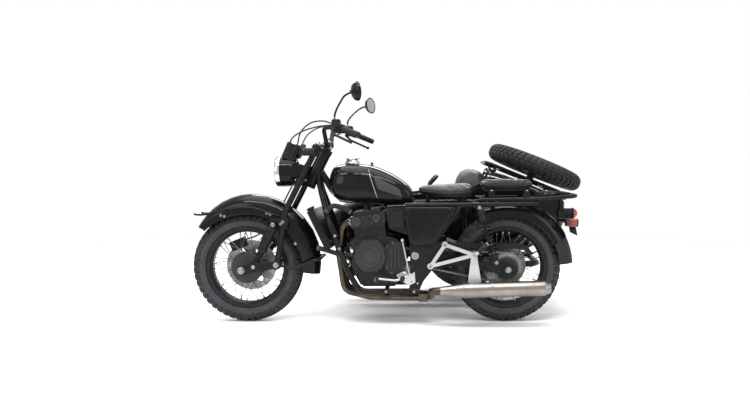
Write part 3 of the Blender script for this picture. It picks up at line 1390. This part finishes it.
def build_fender_trim():
    """Rolled edges, the front fender's rail and the screws."""
    front = Shape()
    skin = surface_of("front_fender")
    for s in (1, -1):
        front.tube([front_fender_edge(d, s) for d in range(28, 191, 4)], 3.2, 8)
        rail = []
        for p in smooth_path([(x, 0, z) for x, z in FRONT_RAIL], 5):
            hit = touch(skin, (p.x, s * 300, p.z), (0, -s, 0), 300)
            near = hit and hit[0].y * s > 40
            rail.append(hit[0] + 2.5 * hit[1] if near else Vector((p.x, s * 62, p.z)))
        front.tube(rail, 6, 10)
        for x, z in ((1660, 634), (1640, 628), (1392, 648), (1372, 642), (1282, 560), (1230, 470), (1212, 420)):
            hit = touch(skin, (x, s * 300, z), (0, -s, 0), 300)
            if hit and hit[0].y * s > 40:
                front.bolt(hit[0], hit[1], 8, finish=1)
        front.bolt((1289, s * 140, 600), (0, s, 0), 9, finish=1)
    lip = []
    for k in range(17):
        bulge = math.sin(math.pi * k / 16)
        lip.append(front_fender_edge(28, -1) + Vector((3 + 24 * bulge, 2 * 76 * k / 16, 16 * bulge)))
    front.tube(lip, 3.2, 8)
    front.piece("front_fender_trim", "steering", ["gloss_paint", "bright_steel"], "gloss_black")
    rear = Shape()
    for s in (1, -1):
        rear.tube(arc_edge(REAR_HUB, 304, s * 84.5, 62, 153, 40), 3.2, 8)
        rear.tube(arc_edge(REAR_HUB, 392, s * 60, 64, 151, 40), 2.2, 6)
        for degrees, r in ((75, 312), (95, 312), (118, 312), (140, 312), (149, 318)):
            rear.bolt(arc_edge(REAR_HUB, r, s * 85.9, degrees, degrees, 1)[0], (0, s, 0), 7, finish=1)
    rear.tube(arc_edge(REAR_HUB, 402, 0, 64, 151, 40), 2.6, 8)
    rear.piece("rear_fender_trim", "chassis", ["gloss_paint", "frame_paint"], "gloss_black")
    side = Shape()
    for s in (1, -1):
        side.tube(arc_edge(SIDECAR_HUB, 264, s * 80.6, -4, 186, 80), 3.2, 8)
    for degrees in (20, 60, 100, 140, 172):
        side.bolt(arc_edge(SIDECAR_HUB, 280, 83.9, degrees, degrees, 1)[0], (0, 1, 0), 7, finish=1)
    side.piece("sidecar_fender_trim", "chassis", ["gloss_paint", "frame_paint"], "gloss_black")


SILENCER_FRONT = Vector((258, 222, 222))
SILENCER_BACK = Vector((-190, 222, 236))


def build_exhaust_trim():
    """Bands, seams, rolled end and clamps of the exhaust."""
    shape = Shape()
    way = (SILENCER_BACK - SILENCER_FRONT).normalized()
    long = (SILENCER_BACK - SILENCER_FRONT).length
    for h, wide, rise in ((-4, 8, 1.2), (6, 5, 0.8), (150, 22, 1.0), (long - 4, 8, 1.3), (long - 56, 5, 0.8)):
        shape.turn([(42.6, h), (43 + rise, h + 1), (43 + rise, h + wide - 1), (42.6, h + wide)], SILENCER_FRONT, way,
                   48)
    shape.turn([(20, long + 35), (25, long + 36), (29, long + 36.8), (29, long + 38.4), (24, long + 39.4),
                (19.4, long + 38), (18.6, long + 20)], SILENCER_FRONT, way, 40)
    shape.tube([SILENCER_FRONT + h * way - 43 * Z_AXIS for h in range(4, int(long), 20)], 1.4, 6)
    hanger = SILENCER_FRONT + 161 * way
    shape.block(hanger + Vector((0, -42, 12)), (26, 8, 44), finish=1)
    shape.bolt(hanger + Vector((0, 36, 24)), (0, 0.83, 0.55), 8, finish=1)
    for h in (-128, -120):
        shape.turn([(24, h), (25.5, h + 1), (25.5, h + 5), (24, h + 6)], SILENCER_FRONT, way, 32, finish=1)
    shape.bolt(SILENCER_FRONT - 122 * way + 27 * Y_AXIS, Y_AXIS, 7, finish=1)
    for y in (-48, 48):
        port = Vector((908, y, 591))
        out = Vector((0.985, 0, -0.174))
        shape.turn([(20.4, 0), (30, 0), (30, 7), (27, 9), (20.4, 9)], port, out, 32, closed=True, finish=1)
        for s in (1, -1):
            shape.bolt(port + Vector((8, s * 30, -1)), out, 6, finish=1)
    shape.piece("exhaust_trim", "chassis", ["silencer_steel", "bright_steel"], "stainless")


SWITCH_CABLE = [(982, 280, 1150), (1040, 244, 1166), (1120, 176, 1158), (1186, 112, 1110), (1216, 64, 1040),
                (1250, 58, 970)]
CLUTCH_CABLE = [(982, 302, 1140), (1060, 266, 1134), (1160, 196, 1112), (1236, 118, 1074), (1262, 62, 1020),
                (1275, 58, 985)]


def build_bar_trim():
    """Cables, brake hose, clamps, fork caps, reservoirs and link bolts, which turn with the bars."""
    shape = Shape()
    for path in (SWITCH_CABLE, [flip(p) for p in SWITCH_CABLE], CLUTCH_CABLE):
        shape.tube(smooth_path(path, 8), 4, 10)
    shape.piece("smooth_cables", "steering", ["soft_rubber"], "rubber", ["control_cables"])
    trim = Shape()
    hose = smooth_path([(984, -302, 1140), (1090, -240, 1080), (1190, -160, 960), (1290, -141, 800), (1370, -142, 650),
                        (1430, -140, 560), (1500, -112, 500), (1560, -78, 478)], 8)
    trim.tube(hose, 4.4, 10)
    rise = on_fork(1, 0, 0) - on_fork(0, 0, 0)
    for s in (1, -1):
        out = Vector((0, s, 0))
        trim.turn([(18, 0), (18, 6), (15, 9), (11, 10)], on_fork(1145.6, 45, s * 118), rise, 28, finish=1)
        trim.turn([(9, 9), (9, 15), (7, 16.5), (2, 16.5)], on_fork(1145.6, 45, s * 118), rise, 6, finish=1)
        for up in (908, 1125):
            trim.cap_screw(on_fork(up, 68, s * 135), on_fork(0, 1, 0) - on_fork(0, 0, 0), 6, finish=1)
        for dx in (-11, 11):
            trim.cap_screw(on_fork(1164 + 20, 6 + dx, s * 52), rise, 6, finish=1)
        # Link pivots, axle nut and the shock's ends
        trim.bolt(FRONT_HUB + Vector((-196, s * 153.2, 29)), out, 16, finish=1)
        trim.bolt(FRONT_HUB + Vector((0, s * 166, 0)), out, 20, finish=1)
        trim.turn([(27, 153), (27, 157), (23, 158.5), (17, 158.5)], FRONT_HUB, out, 36, finish=2)
        trim.bolt(FRONT_HUB + Vector((-66, s * 153.2, 18)), out, 11, finish=1)
        trim.bolt(FRONT_HUB + Vector((-176, s * 129.8, 258)), out, 13, finish=1)
        trim.bolt(FRONT_HUB + Vector((-222, s * 126.8, 262)), out, 9, finish=1)
        top, foot = FRONT_HUB + Vector((-176, s * 118, 258)), FRONT_HUB + Vector((-66, s * 118, 18))
        way = (foot - top).normalized()
        for h in (22, (foot - top).length - 104):
            trim.turn([(28, h), (28.8, h + 0.8), (28.8, h + 5), (28, h + 6)], top, way, 32)
        # Reservoir, lever pivot and switches
        trim.block((957, s * 291, 1167.4), (42, 40, 6.4), finish=3)
        for dx in (-14, 14):
            trim.cap_screw((957 + dx * 0.9, s * (291 + 13), 1170), Z_AXIS, 4, finish=1)
        pivot = turned(s, GRIP_IN + 34 * (GRIP_END - GRIP_IN).normalized() + Vector((30, 14, -10)))
        trim.turn([(7, 0), (7, 16), (5, 18)], pivot, Z_AXIS, 6, finish=1)
        for k, finish in enumerate((3, 4)):
            knob = turned(s, GRIP_IN + (26 + 18 * k) * (GRIP_END - GRIP_IN).normalized() + Vector((-20, -8, 8)))
            trim.turn([(6, -4), (6, 4), (4.5, 5.5)], knob, Vector((-0.8, -0.3 * s, 0.5)), 12, finish=finish)
    trim.turn([(20, 0), (20, 10), (17, 12), (6, 12)], on_fork(1150, 0, 0), rise, 6, finish=1)
    # Bezel of the headlamp
    trim.turn([(85, -18), (90.6, -17), (91.4, -6), (91.4, 4), (89.6, 8), (88, 8.6)], LAMP, LAMP_OUT, 72, finish=5)
    # Brake caliper's bolts and bleed nipple
    for dx, dz in ((46, 122), (84, 108)):
        trim.bolt(FRONT_HUB + Vector((dx, -85, dz + 26)), -Y_AXIS, 9, finish=1)
    trim.piece("bar_trim", "steering", ["soft_rubber", "bright_steel", "frame_paint", "plastic", "hand_red", "chrome"],
               "satin_black")


def build_frame_trim():
    """Bolts on the frame, peg rubbers, pivot caps and the lamp's trim at the tail."""
    shape = Shape()
    frame_skin = surface_of("frame")
    for s in (1, -1):
        out = Vector((0, s, 0))
        for x, z, size in ((994, 520, 8), (968, 446, 8), (700, 203, 7), (540, 204, 7), (590, 698, 5), (520, 250, 6)):
            hit = touch(frame_skin, (x, s * 400, z), (0, -s, 0))
            if hit and hit[0].y * s > 60:
                shape.bolt(hit[0] - 0.6 * hit[1], hit[1], size)
        shape.turn([(22, 0), (22, 5), (18, 8), (14, 8)], (534, s * 156, 409), out, 32)
        shape.bolt((534, s * 160, 409), out, 12)
        shape.bolt(REAR_HUB + Vector((0, s * 146, 0)), out, 17)
        shape.block(REAR_HUB + Vector((-22, s * 134.5, 0)), (66, 4, 30), finish=1)
        for x, z in ((364, 474), (446, 352), (196, 416)):
            shape.bolt((x, s * 180, z), out, 10)
        shape.bolt((196, s * 206, 416), out, 9)
        for x, z in ((552, 262), (604, 286), (624, 298)):
            shape.cap_screw((x, s * 168, z), out, 7)
        ribs = []
        for k in range(9):
            h = 22 + 8 * k
            ribs += [(12.4, h), (13.6, h + 1), (13.6, h + 5), (12.4, h + 6)]
        shape.turn([(11, 20)] + ribs + [(12, 98), (8, 100)], (604, s * 164, 286), out, 18, finish=2)
        shape.turn([(8, 0), (10.4, 2), (10.4, 46), (8, 48)], (749, s * 187, 284), out, 16, finish=2)
        tip = Vector((190, s * 200, 422))
        peg = (Vector((124, s * 216, 486)) - tip).normalized()
        shape.turn([(11, 20), (12.4, 22), (12.4, 88), (10, 92)], tip, peg, 16, finish=2)
        shape.turn([(23, -2), (24, 0), (24, 5), (21, 7)], (-394, s * 112, 594), Vector((-1, 0, -0.06)), 28, finish=1)
        shape.turn([(6, 0), (6, 3), (4, 4)], (-404, s * 60, 571), Vector((-1, 0, -0.2)), 10)
    shape.turn([(30, -4), (33.6, -3), (34, 2), (31.4, 4)], (-394, 0, 640), -X_AXIS, 40, finish=1)
    for k in range(4):
        r, h = -5 * k, 5.4 * k - 0.8 * k * k
        shape.turn([(29.4 + r, 8.6 + h), (30.2 + r, 9.2 + h), (29 + r, 10 + h)], (-394, 0, 640), -X_AXIS, 40, finish=3)
    for x in (-104, 96):
        for s in (1, -1):
            shape.bolt((x, s * 132, 778), Z_AXIS, 7)
    # Radiator cap and guard bars
    lean = Vector((math.sin(RADIATOR_LEAN), 0, math.cos(RADIATOR_LEAN)))
    out = Vector((math.cos(RADIATOR_LEAN), 0, -math.sin(RADIATOR_LEAN)))
    for k in range(-4, 5):
        mid = RADIATOR + 23 * out + 28 * k * Y_AXIS
        shape.tube([mid - 108 * lean, mid + 108 * lean], 2, 6, finish=1)
    shape.turn([(20, 0), (20, 8), (23, 9), (23, 17), (20, 19), (6, 20)], RADIATOR + 120 * lean + 104 * Y_AXIS, lean, 24,
               finish=1)
    shape.piece("frame_trim", "chassis", ["bright_steel", "plastic", "soft_rubber", "red_lens"], "alloy")


TUB_RIM = [(60, 268, 852), (150, 268, 800), (260, 268, 766), (420, 268, 750), (600, 266, 730), (640, 264.7, 724)]


def build_tub_trim():
    """Rim roll of the cockpit, floor mat, lock and screws."""
    shape = Shape()
    for s in (1, -1):
        rim = smooth_path([(x, TUB_Y + s * (half - 3), z + 1) for x, half, z in TUB_RIM], 8)
        shape.tube(rim, 6.5, 10)
        for p in rim[4::8]:
            shape.turn([(4, 0), (4, 1.2), (2.6, 2)], p + Vector((0, s * 5.6, 1.6)), Vector((0, s, 0.3)), 8, finish=1)
        shape.bolt((452, TUB_Y + s * 243, 735), (0, -s, 0), 8, finish=1)
    edge = [Vector((641, TUB_Y + 261 * math.cos(a), 724 + 40 * math.sin(a) ** 0.8)) for a in
            (math.pi * k / 24 for k in range(1, 24))]
    shape.tube(edge, 6.5, 10)
    shape.block((720, TUB_Y, 331), (330, 330, 12), finish=2)
    for k in range(9):
        shape.block((590 + 32 * k, TUB_Y, 338.5), (10, 300, 4), finish=2)
    # Lock of the trunk
    shape.turn([(13, 0), (13, 2.5), (10.5, 4), (10.5, 7), (8, 9), (3, 9)], (-429.6, TUB_Y, 664), -X_AXIS, 24, finish=3)
    shape.piece("tub_trim", "chassis", ["soft_rubber", "bright_steel", "lining", "chrome"], "rubber")
    lid = Shape()
    lid_skin = surface_of("trunk_lid")
    for s in (1, -1):
        for x in (-380, -300, -200, -100, 0):
            hit = touch(lid_skin, (x, TUB_Y + s * 205, 1200), (0, 0, -1))
            if hit:
                lid.cap_screw(hit[0] - 0.6 * hit[1], hit[1], 6)
    for k in range(2):
        up = 58 + 10 * k
        lid.turn([(30 - 10 * k, up - 8), (30 - 10 * k, up), (24 - 8 * k, up + 3), (6, up + 3)], SPARE_HUB,
                 SPARE_AXIS, 6)
    lid.piece("lid_trim", "lid_set", ["bright_steel"], "satin_black")


# Stage

FLOOR_CENTRE = Vector((620, -350, 0))
FLOOR_RADII = (1, 1500, 9000)
FLOOR_FADE = (2.2, 5.5)
LENS_MM = 30.9
SENSOR_MM = 36
CAMERA_SHIFT = -0.0707
CAMERA_PLACE = (-0.181, 4.152, 0.914)
CAMERA_DROP = 3.82


def set_stage(props):
    """Pale floor, white surroundings, soft light from above and the camera of the photo."""
    scene = bpy.context.scene
    world = bpy.data.worlds.new("studio")
    scene.world = world
    world.use_nodes = True
    w = Wires(world.node_tree)
    back = world.node_tree.nodes["Background"]
    back.inputs["Color"].default_value = (1, 1, 1, 1)
    light = w.node("LightPath").outputs
    seen = w.math("MAXIMUM", light["Is Camera Ray"],
                  w.math("MAXIMUM", light["Is Glossy Ray"], light["Is Transmission Ray"]))
    w.feed(back.inputs["Strength"], w.spread(seen, 0.0, 1.0, props.sky, 1.0))

    floor = Shape()
    floor.loft([[FLOOR_CENTRE + r * ray for ray in rays(64, X_AXIS, Y_AXIS)] for r in FLOOR_RADII], caps=False)
    mesh = bpy.data.meshes.new("studio_floor")
    mesh.from_pydata([to_frame(p) for p in floor.points], [], floor.faces)
    material = bpy.data.materials.new("studio_floor")
    material.use_nodes = True
    w = Wires(material.node_tree)
    shader = material.node_tree.nodes["Principled BSDF"]
    shader.inputs["Base Color"].default_value = (0.96, 0.96, 0.96, 1)
    shader.inputs["Roughness"].default_value = 0.9
    shader.inputs["Specular IOR Level"].default_value = 0.0
    place = w.node("VectorMath", operation="LENGTH")
    w.feed(place.inputs[0], w.node("TexCoord").outputs["Object"])
    w.feed(shader.inputs["Alpha"], w.spread(place.outputs["Value"], *FLOOR_FADE, 1.0, 0.0))
    mesh.materials.append(material)
    ground = bpy.data.objects.new("studio_floor", mesh)
    scene.collection.objects.link(ground)

    for name, place, size, power, aim in (
            ("softbox_top", (0.1, 0.2, 4.2), (4.5, 3.5), props.top_light, (0, 0, 0.4)),
            ("strip_left", (0.2, 1.9, 3.0), (3.2, 0.3), props.strip_light, (0, 0.2, 0.6)),
            ("strip_right", (0.0, -2.2, 2.6), (3.2, 0.3), props.strip_light, (0, -0.4, 0.6)),
            ("softbox_front", (2.6, 3.6, 2.2), (1.6, 2.2), props.side_light, (0.3, 0, 0.6)),
            ("softbox_back", (-3.2, 2.8, 1.8), (1.2, 2.0), props.side_light * 0.6, (-0.3, 0, 0.6))):
        lamp = bpy.data.lights.new(name, "AREA")
        lamp.shape = "RECTANGLE"
        lamp.size, lamp.size_y = size
        lamp.energy = power
        holder = bpy.data.objects.new(name, lamp)
        holder.location = place
        holder.rotation_euler = (Vector(aim) - Vector(place)).to_track_quat("-Z", "Y").to_euler()
        scene.collection.objects.link(holder)

    camera = bpy.data.cameras.new("photo_camera")
    camera.sensor_fit = "HORIZONTAL"
    camera.sensor_width = SENSOR_MM
    camera.lens = LENS_MM
    camera.shift_x = CAMERA_SHIFT
    camera.clip_end = 100
    eye = bpy.data.objects.new("photo_camera", camera)
    eye.location = CAMERA_PLACE
    eye.rotation_euler = (math.radians(90 - CAMERA_DROP), 0, math.radians(180))
    scene.collection.objects.link(eye)
    scene.camera = eye
    scene.view_settings.view_transform = "Standard"


# The add-on: settings, one operator for each kind of piece, and a panel

class OutfitLooks(bpy.types.PropertyGroup):
    """Settings that the builders share."""

    pitches: bpy.props.IntProperty(name="Tread pitches", description="Tread blocks round a tyre", default=48, min=30,
                                   max=90)
    groove: bpy.props.FloatProperty(name="Groove depth", description="Depth of the tread", default=0.009, min=0.003,
                                    max=0.012, unit="LENGTH")
    slack: bpy.props.FloatProperty(name="Cover slack", description="How much smaller a seat cover starts",
                                   default=0.003, min=0, max=0.006, unit="LENGTH")
    pressure: bpy.props.FloatProperty(name="Padding pressure", description="Pressure of the padding on its cover",
                                      default=4.0, min=0, max=8)
    reach: bpy.props.FloatProperty(name="Padding reach", description="Furthest that a cover presses out", default=0.006,
                                   min=0, max=0.01, unit="LENGTH")
    piping: bpy.props.FloatProperty(name="Piping", description="Radius of the piping on the seats", default=0.003,
                                    min=0.001, max=0.006, unit="LENGTH")
    sky: bpy.props.FloatProperty(name="Surround", description="Strength of the light from all round", default=0.74,
                                 min=0, max=2)
    top_light: bpy.props.FloatProperty(name="Top light", description="Power of the softbox above", default=170, min=0,
                                       unit="POWER")
    strip_light: bpy.props.FloatProperty(name="Strip light", description="Power of the long strips above", default=70,
                                         min=0, unit="POWER")
    side_light: bpy.props.FloatProperty(name="Side light", description="Power of the softboxes at the sides",
                                        default=40, min=0, unit="POWER")


class OUTFIT_OT_nodes(bpy.types.Operator):
    """Finishes of the pieces that keep their CAD form."""

    bl_idname = "outfit.nodes"
    bl_label = "CAD finishes"
    bl_options = {"REGISTER", "UNDO"}

    def execute(self, context):
        paint_nodes()
        return {"FINISHED"}


class OUTFIT_OT_tyres(bpy.types.Operator):
    """Four tyres with block tread."""

    bl_idname = "outfit.tyres"
    bl_label = "Tyres"
    bl_options = {"REGISTER", "UNDO"}

    def execute(self, context):
        props = context.scene.outfit_looks
        for name, body, hub, axis, _ in WHEELS:
            build_tyre(name + "_tyre", body, hub, axis, props.pitches, props.groove / MM)
        return {"FINISHED"}


class OUTFIT_OT_wheels(bpy.types.Operator):
    """Nipples, valves and hub bolts."""

    bl_idname = "outfit.wheels"
    bl_label = "Wheel trim"
    bl_options = {"REGISTER", "UNDO"}

    def execute(self, context):
        for wheel in WHEELS:
            build_wheel_trim(*wheel)
        return {"FINISHED"}


class OUTFIT_OT_seats(bpy.types.Operator):
    """Saddle, pillion pad and sidecar seat with their covers."""

    bl_idname = "outfit.seats"
    bl_label = "Seats"
    bl_options = {"REGISTER", "UNDO"}

    def execute(self, context):
        for build in (build_saddle, build_pillion, build_sidecar_seat):
            build(context.scene.outfit_looks)
        return {"FINISHED"}


class OUTFIT_OT_sides(bpy.types.Operator):
    """Side covers under the saddle."""

    bl_idname = "outfit.sides"
    bl_label = "Side covers"
    bl_options = {"REGISTER", "UNDO"}

    def execute(self, context):
        build_side_panels()
        return {"FINISHED"}


class OUTFIT_OT_drive(bpy.types.Operator):
    """Rear springs and drive chain."""

    bl_idname = "outfit.drive"
    bl_label = "Springs and chain"
    bl_options = {"REGISTER", "UNDO"}

    def execute(self, context):
        build_rear_shocks()
        build_chain()
        return {"FINISHED"}


class OUTFIT_OT_bars(bpy.types.Operator):
    """Grips and mirrors."""

    bl_idname = "outfit.bars"
    bl_label = "Grips and mirrors"
    bl_options = {"REGISTER", "UNDO"}

    def execute(self, context):
        build_grips()
        build_mirrors()
        return {"FINISHED"}


class OUTFIT_OT_lamps(bpy.types.Operator):
    """Headlamp, dial and warning lamps."""

    bl_idname = "outfit.lamps"
    bl_label = "Lamps and dial"
    bl_options = {"REGISTER", "UNDO"}

    def execute(self, context):
        build_headlamp()
        build_dial()
        return {"FINISHED"}


class OUTFIT_OT_engine(bpy.types.Operator):
    """Engine trim, exhaust bands and clamps."""

    bl_idname = "outfit.engine"
    bl_label = "Engine and exhaust trim"
    bl_options = {"REGISTER", "UNDO"}

    def execute(self, context):
        build_engine_trim()
        build_exhaust_trim()
        return {"FINISHED"}


class OUTFIT_OT_tank(bpy.types.Operator):
    """Tank trim and fender edges."""

    bl_idname = "outfit.tank"
    bl_label = "Tank and fender trim"
    bl_options = {"REGISTER", "UNDO"}

    def execute(self, context):
        build_tank_trim()
        build_fender_trim()
        return {"FINISHED"}


class OUTFIT_OT_steering(bpy.types.Operator):
    """Cables, hoses, clamps and link bolts."""

    bl_idname = "outfit.steering"
    bl_label = "Steering trim"
    bl_options = {"REGISTER", "UNDO"}

    def execute(self, context):
        build_bar_trim()
        return {"FINISHED"}


class OUTFIT_OT_frame(bpy.types.Operator):
    """Bolts and rubbers on the frame."""

    bl_idname = "outfit.frame"
    bl_label = "Frame trim"
    bl_options = {"REGISTER", "UNDO"}

    def execute(self, context):
        build_frame_trim()
        return {"FINISHED"}


class OUTFIT_OT_tub(bpy.types.Operator):
    """Trim of the tub and the trunk lid."""

    bl_idname = "outfit.tub"
    bl_label = "Tub trim"
    bl_options = {"REGISTER", "UNDO"}

    def execute(self, context):
        build_tub_trim()
        return {"FINISHED"}


class OUTFIT_OT_stage(bpy.types.Operator):
    """Pale floor, white surroundings, soft light from above and the camera of the photo."""

    bl_idname = "outfit.stage"
    bl_label = "Stage"
    bl_options = {"REGISTER", "UNDO"}

    def execute(self, context):
        set_stage(context.scene.outfit_looks)
        return {"FINISHED"}


OPERATORS = (
    OUTFIT_OT_nodes, OUTFIT_OT_tyres, OUTFIT_OT_wheels, OUTFIT_OT_seats, OUTFIT_OT_sides,
    OUTFIT_OT_drive, OUTFIT_OT_bars, OUTFIT_OT_lamps, OUTFIT_OT_engine, OUTFIT_OT_tank,
    OUTFIT_OT_steering, OUTFIT_OT_frame, OUTFIT_OT_tub, OUTFIT_OT_stage,
)


class OUTFIT_PT_looks(bpy.types.Panel):
    """The builders and their settings."""

    bl_label = "Outfit looks"
    bl_space_type = "VIEW_3D"
    bl_region_type = "UI"
    bl_category = "Outfit"

    def draw(self, context):
        for name in OutfitLooks.__annotations__:
            self.layout.prop(context.scene.outfit_looks, name)
        for operator in OPERATORS:
            self.layout.operator(operator.bl_idname)


def register():
    for kind in (OutfitLooks, *OPERATORS, OUTFIT_PT_looks):
        bpy.utils.register_class(kind)
    bpy.types.Scene.outfit_looks = bpy.props.PointerProperty(type=OutfitLooks, name="Outfit looks",
                                                             description="Settings of the outfit's looks")


def unregister():
    del bpy.types.Scene.outfit_looks
    for kind in (OUTFIT_PT_looks, *reversed(OPERATORS), OutfitLooks):
        bpy.utils.unregister_class(kind)


def main():
    register()
    for operator in OPERATORS:
        getattr(bpy.ops.outfit, operator.bl_idname.split(".")[1])()


if __name__ == "__main__":
    main()
